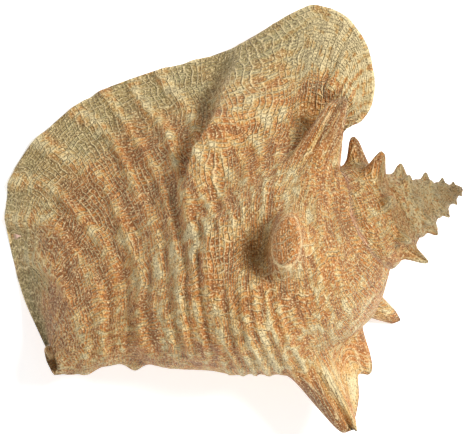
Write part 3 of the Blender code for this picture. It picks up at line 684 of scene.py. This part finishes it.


# The finish. A weighted sum of stain, with the painted shade and painted light on the big spine's crease,
# patterns and forms picks a colour from the scale. Olive at the lip, the orange oval, the pale net of lines
# with the oval's rim, painted shade with brown dirt in the hollows, pale and brown grain and the pink glaze
# then cover it in that order. The net, the patches and the grain also make the bump.
def makeShellFinish():
    material = bpy.data.materials.new("weatheredShell")
    material.use_nodes = True
    tree = material.node_tree
    surface = tree.nodes["Principled BSDF"]
    colours, scales, weights, ramps = shellColours, patternScales, paleness, finishRamps

    # a value stored on the mesh's points
    def mark(name):
        return addNode(tree, "ShaderNodeAttribute", {"attribute_name": name}).outputs["Fac"]

    # two values put together by a named operation
    def sums(operation, *values):
        return addNode(tree, "ShaderNodeMath", {"operation": operation}, dict(enumerate(values))).outputs[0]

    # smoothstep from start to end while the value goes from low to high
    def ramp(value, low, high, start=0.0, end=1.0):
        return addNode(tree, "ShaderNodeMapRange", {"interpolation_type": "SMOOTHSTEP"},
                       {0: value, 1: low, 2: high, 3: start, 4: end}).outputs[0]

    # the first colour where the amount is 0, the second where it is 1
    def blend(amount, first, second):
        node = addNode(tree, "ShaderNodeMix", {"data_type": "RGBA"}, {0: amount})
        for index, colour in ((6, first), (7, second)):
            if isinstance(colour, bpy.types.NodeSocket):
                tree.links.new(colour, node.inputs[index])
            else:
                node.inputs[index].default_value = (*colour, 1)
        return node.outputs[2]

    # soft noise in space
    def noise(scale, detail):
        return addNode(tree, "ShaderNodeTexNoise", None,
                       {"Vector": position, "Scale": scale, "Detail": detail}).outputs[0]

    # swaying growth and place, multiplied by their scales
    def sheetVector(growthScale, placeScale):
        return addNode(tree, "ShaderNodeCombineXYZ", None,
                       {0: sums("MULTIPLY", wavyGrowth, growthScale),
                        1: sums("MULTIPLY", wavyPlace, placeScale)}).outputs[0]

    # soft noise on the sheet
    def streaks(growthScale, placeScale, detail):
        return addNode(tree, "ShaderNodeTexNoise", {"noise_dimensions": "2D"},
                       {"Vector": sheetVector(growthScale, placeScale), "Scale": 1.0,
                        "Detail": detail}).outputs[0]

    # a random colour in each cell of the sheet
    def cells(growthScale, placeScale):
        return addNode(tree, "ShaderNodeTexVoronoi", {"voronoi_dimensions": "2D", "feature": "F1"},
                       {"Vector": sheetVector(growthScale, placeScale), "Scale": 1.0,
                        "Randomness": scales["cellRandomness"]}).outputs["Color"]

    # value plus weight times what another value differs from a half
    def shiftedBy(value, other, weight):
        return sums("ADD", value, sums("MULTIPLY", sums("SUBTRACT", other, 0.5), weight))

    # how far the fraction of value is from a half
    def besideHalf(value):
        return sums("ABSOLUTE", sums("SUBTRACT", sums("FRACT", value), 0.5))

    # 1 on the lines where value times count is whole, falling to 0 beside them; the lines wander with bends
    def lines(value, count):
        phase = sums("ADD", sums("MULTIPLY", value, count), sums("MULTIPLY", bends, scales["lineBend"]))
        return ramp(besideHalf(phase), 0.5 - scales["lineWidth"], 0.5)

    growth, place, rib, oval = mark("growth"), mark("place"), mark("rib"), mark("oval")
    hollow, stainAndShading, pink = mark("hollow"), mark("stainAndShading"), mark("pink")
    position = addNode(tree, "ShaderNodeTexCoord").outputs["Object"]
    clouds, sway, grain = noise(*scales["clouds"]), noise(*scales["sway"]), noise(*scales["grain"])
    wavyGrowth = shiftedBy(growth, sway, scales["growthSway"])
    wavyPlace = shiftedBy(place, sway, scales["placeSway"])
    patches = streaks(*scales["patches"])
    bends = streaks(*scales["bends"])
    cellShades = addNode(tree, "ShaderNodeSeparateColor", None, {0: cells(*scales["cells"])}).outputs[0]

    # lines along the growth and across it, broken up by the noises, and the straight fan on the wing
    cordLines = sums("MULTIPLY", lines(wavyPlace, scales["cords"]), ramp(clouds, *ramps["cordBreaks"]))
    growthLines = sums("MULTIPLY", lines(wavyGrowth, scales["growthLines"]),
                       ramp(patches, *ramps["growthLineBreaks"]))
    fan = sums("MULTIPLY", besideHalf(sums("MULTIPLY", place, scales["fan"])), scales["fanHeight"])
    fan = sums("SUBTRACT", fan, scales["fanMiddle"])
    onWing = sums("MULTIPLY", ramp(place, *ramps["fanPlace"]), ramp(growth, *ramps["fanGrowth"]))

    # stain, with the painted shade and light on the big spine's crease, moves the scale
    pale = sums("ADD", weights["start"], sums("MULTIPLY", stainAndShading, weights["stainAndShading"]))
    pale = shiftedBy(pale, cellShades, weights["cells"])
    pale = shiftedBy(pale, clouds, weights["clouds"])
    pale = shiftedBy(pale, patches, weights["patches"])
    pale = sums("ADD", pale, sums("MULTIPLY", rib, weights["ribs"]))
    pale = sums("ADD", pale, sums("MULTIPLY", sums("MULTIPLY", fan, onWing), weights["fan"]))
    scale = addNode(tree, "ShaderNodeValToRGB", None, {0: pale})
    stops = scale.color_ramp.elements
    for index, (at, shade) in enumerate(colours["scale"]):
        stop = stops[index] if index < 2 else stops.new(at)
        stop.position = at
        stop.color = (*shade, 1)
    colour = scale.outputs[0]

    nearEdge = ramp(sums("ADD", growth, sums("MULTIPLY", clouds, scales["lipSway"])), *ramps["lipGrowth"])
    lipZone = sums("MULTIPLY", nearEdge, ramp(place, *ramps["lipPlace"]))
    colour = blend(sums("MULTIPLY", lipZone, ramp(rib, *ramps["lipRibs"])), colour, colours["olive"])
    colour = blend(ramp(oval, *ramps["face"]), colour, colours["face"])
    net = sums("MAXIMUM", sums("MULTIPLY", cordLines, lineStrengths["cords"]),
               sums("MULTIPLY", growthLines, lineStrengths["growthLines"]))
    wornOval = shiftedBy(oval, sway, scales["ovalSway"])
    rim = sums("MULTIPLY", ramp(wornOval, *ramps["rimOuter"]), ramp(wornOval, *ramps["rimInner"]))
    net = sums("MAXIMUM", net, sums("MULTIPLY", rim, ramp(clouds, *ramps["rimBreaks"])))
    colour = blend(net, colour, colours["chalk"])
    # painted shade, with brown dirt in the pits, darkens the hollows
    colour = blend(ramp(hollow, *ramps["hollow"]), colour, colours["shadeAndDirtBrown"])
    colour = blend(ramp(grain, *ramps["paleGrain"]), colour, colours["chalk"])
    colour = blend(ramp(grain, *ramps["darkGrain"]), colour, colours["brown"])
    colour = blend(pink, colour, colours["pink"])
    tree.links.new(colour, surface.inputs["Base Color"])
    rough = ramp(pink, 0.0, 1.0, colours["roughness"], colours["glazeRoughness"])
    tree.links.new(rough, surface.inputs["Roughness"])
    bumpHeight = sums("ADD", net, sums("ADD", patches, sums("MULTIPLY", grain, bumps["grain"])))
    bumpHeight = sums("MULTIPLY", bumpHeight, sums("SUBTRACT", 1.0, pink))
    bump = addNode(tree, "ShaderNodeBump", None,
                   {"Strength": 1.0, "Distance": bumps["distance"], "Height": bumpHeight})
    tree.links.new(bump.outputs[0], surface.inputs["Normal"])
    return material


conch.data.materials.append(makeShellFinish())
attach(conch, "root")
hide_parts("shell")
print("finish made")

studio = {
    "floorHalf": 3,
    "floorColour": (0.93, 0.93, 0.92),
    "floorRoughness": 0.9,
    "floorGlow": 0.5,
    "worldStrength": 0.40,
    "keyPower": 30.0, "keySize": 0.45, "keyFrom": (0.8, 0.4, 1.5),
    "lowPower": 4.5, "lowSize": 0.6, "lowFrom": (-0.2, -1.2, 1.0),
    "aimHeight": 0.04,
    "cameraDistance": 2.0,
    "pictureMiddle": (-111.475, -14.21),   # right and up from the apex in the picture, millimetres
    "pictureWidth": 231.77,
    "sensorWidth": 36,
    "clipEnd": 20,
}


# a pale square under the shell
def makeFloor():
    mesh = bpy.data.meshes.new("paleFloor")
    h = studio["floorHalf"]
    mesh.from_pydata([(-h, -h, 0), (h, -h, 0), (h, h, 0), (-h, h, 0)], [], [(0, 1, 2, 3)])
    floor = bpy.data.objects.new("paleFloor", mesh)
    bpy.context.scene.collection.objects.link(floor)
    material = bpy.data.materials.new("palePaper")
    material.use_nodes = True
    surface = material.node_tree.nodes["Principled BSDF"]
    surface.inputs["Base Color"].default_value = (*studio["floorColour"], 1)
    surface.inputs["Roughness"].default_value = studio["floorRoughness"]
    surface.inputs["Emission Color"].default_value = (1, 1, 1, 1)
    surface.inputs["Emission Strength"].default_value = studio["floorGlow"]
    mesh.materials.append(material)


# a square light that faces a point above the middle of the floor
def addSoftLight(name, place, power, size):
    light = bpy.data.lights.new(name, "AREA")
    light.energy = power
    light.size = size
    lamp = bpy.data.objects.new(name, light)
    bpy.context.scene.collection.objects.link(lamp)
    lamp.location = place
    aim = Vector((0, 0, studio["aimHeight"])) - Vector(place)
    lamp.rotation_euler = aim.to_track_quat("-Z", "Y").to_euler()


# The camera looks straight down on the coil's axis frame, which the resting roll and pitch have tilted. Its
# focal length is the sensor's width times the distance over the width of what it sees.
def addCamera():
    roll, pitch = coilShape["rollToRest"], coilShape["pitchToRest"]
    turnToRest = Matrix.Rotation(radians(pitch), 4, "Y") @ Matrix.Rotation(radians(roll), 4, "X")
    middle = turnToRest @ Vector((*studio["pictureMiddle"], 0)) - Vector(coilShape["apexFromMiddle"])
    camera = bpy.data.cameras.new("photoView")
    camera.sensor_width = studio["sensorWidth"]
    camera.lens = studio["sensorWidth"] * studio["cameraDistance"] * 1000 / studio["pictureWidth"]
    camera.clip_end = studio["clipEnd"]
    eye = bpy.data.objects.new("photoView", camera)
    bpy.context.scene.collection.objects.link(eye)
    back = turnToRest @ Vector((0, 0, studio["cameraDistance"]))
    eye.matrix_world = Matrix.Translation(middle * 0.001 + back) @ turnToRest
    bpy.context.scene.camera = eye


makeFloor()
addSoftLight("keyLight", studio["keyFrom"], studio["keyPower"], studio["keySize"])
addSoftLight("lowLight", studio["lowFrom"], studio["lowPower"], studio["lowSize"])
addCamera()
world = bpy.data.worlds.new("studioWorld")
world.use_nodes = True
world.node_tree.nodes["Background"].inputs["Color"].default_value = (1, 1, 1, 1)
world.node_tree.nodes["Background"].inputs["Strength"].default_value = studio["worldStrength"]
bpy.context.scene.world = world
bpy.context.scene.view_settings.view_transform = "Standard"
print("studio set")
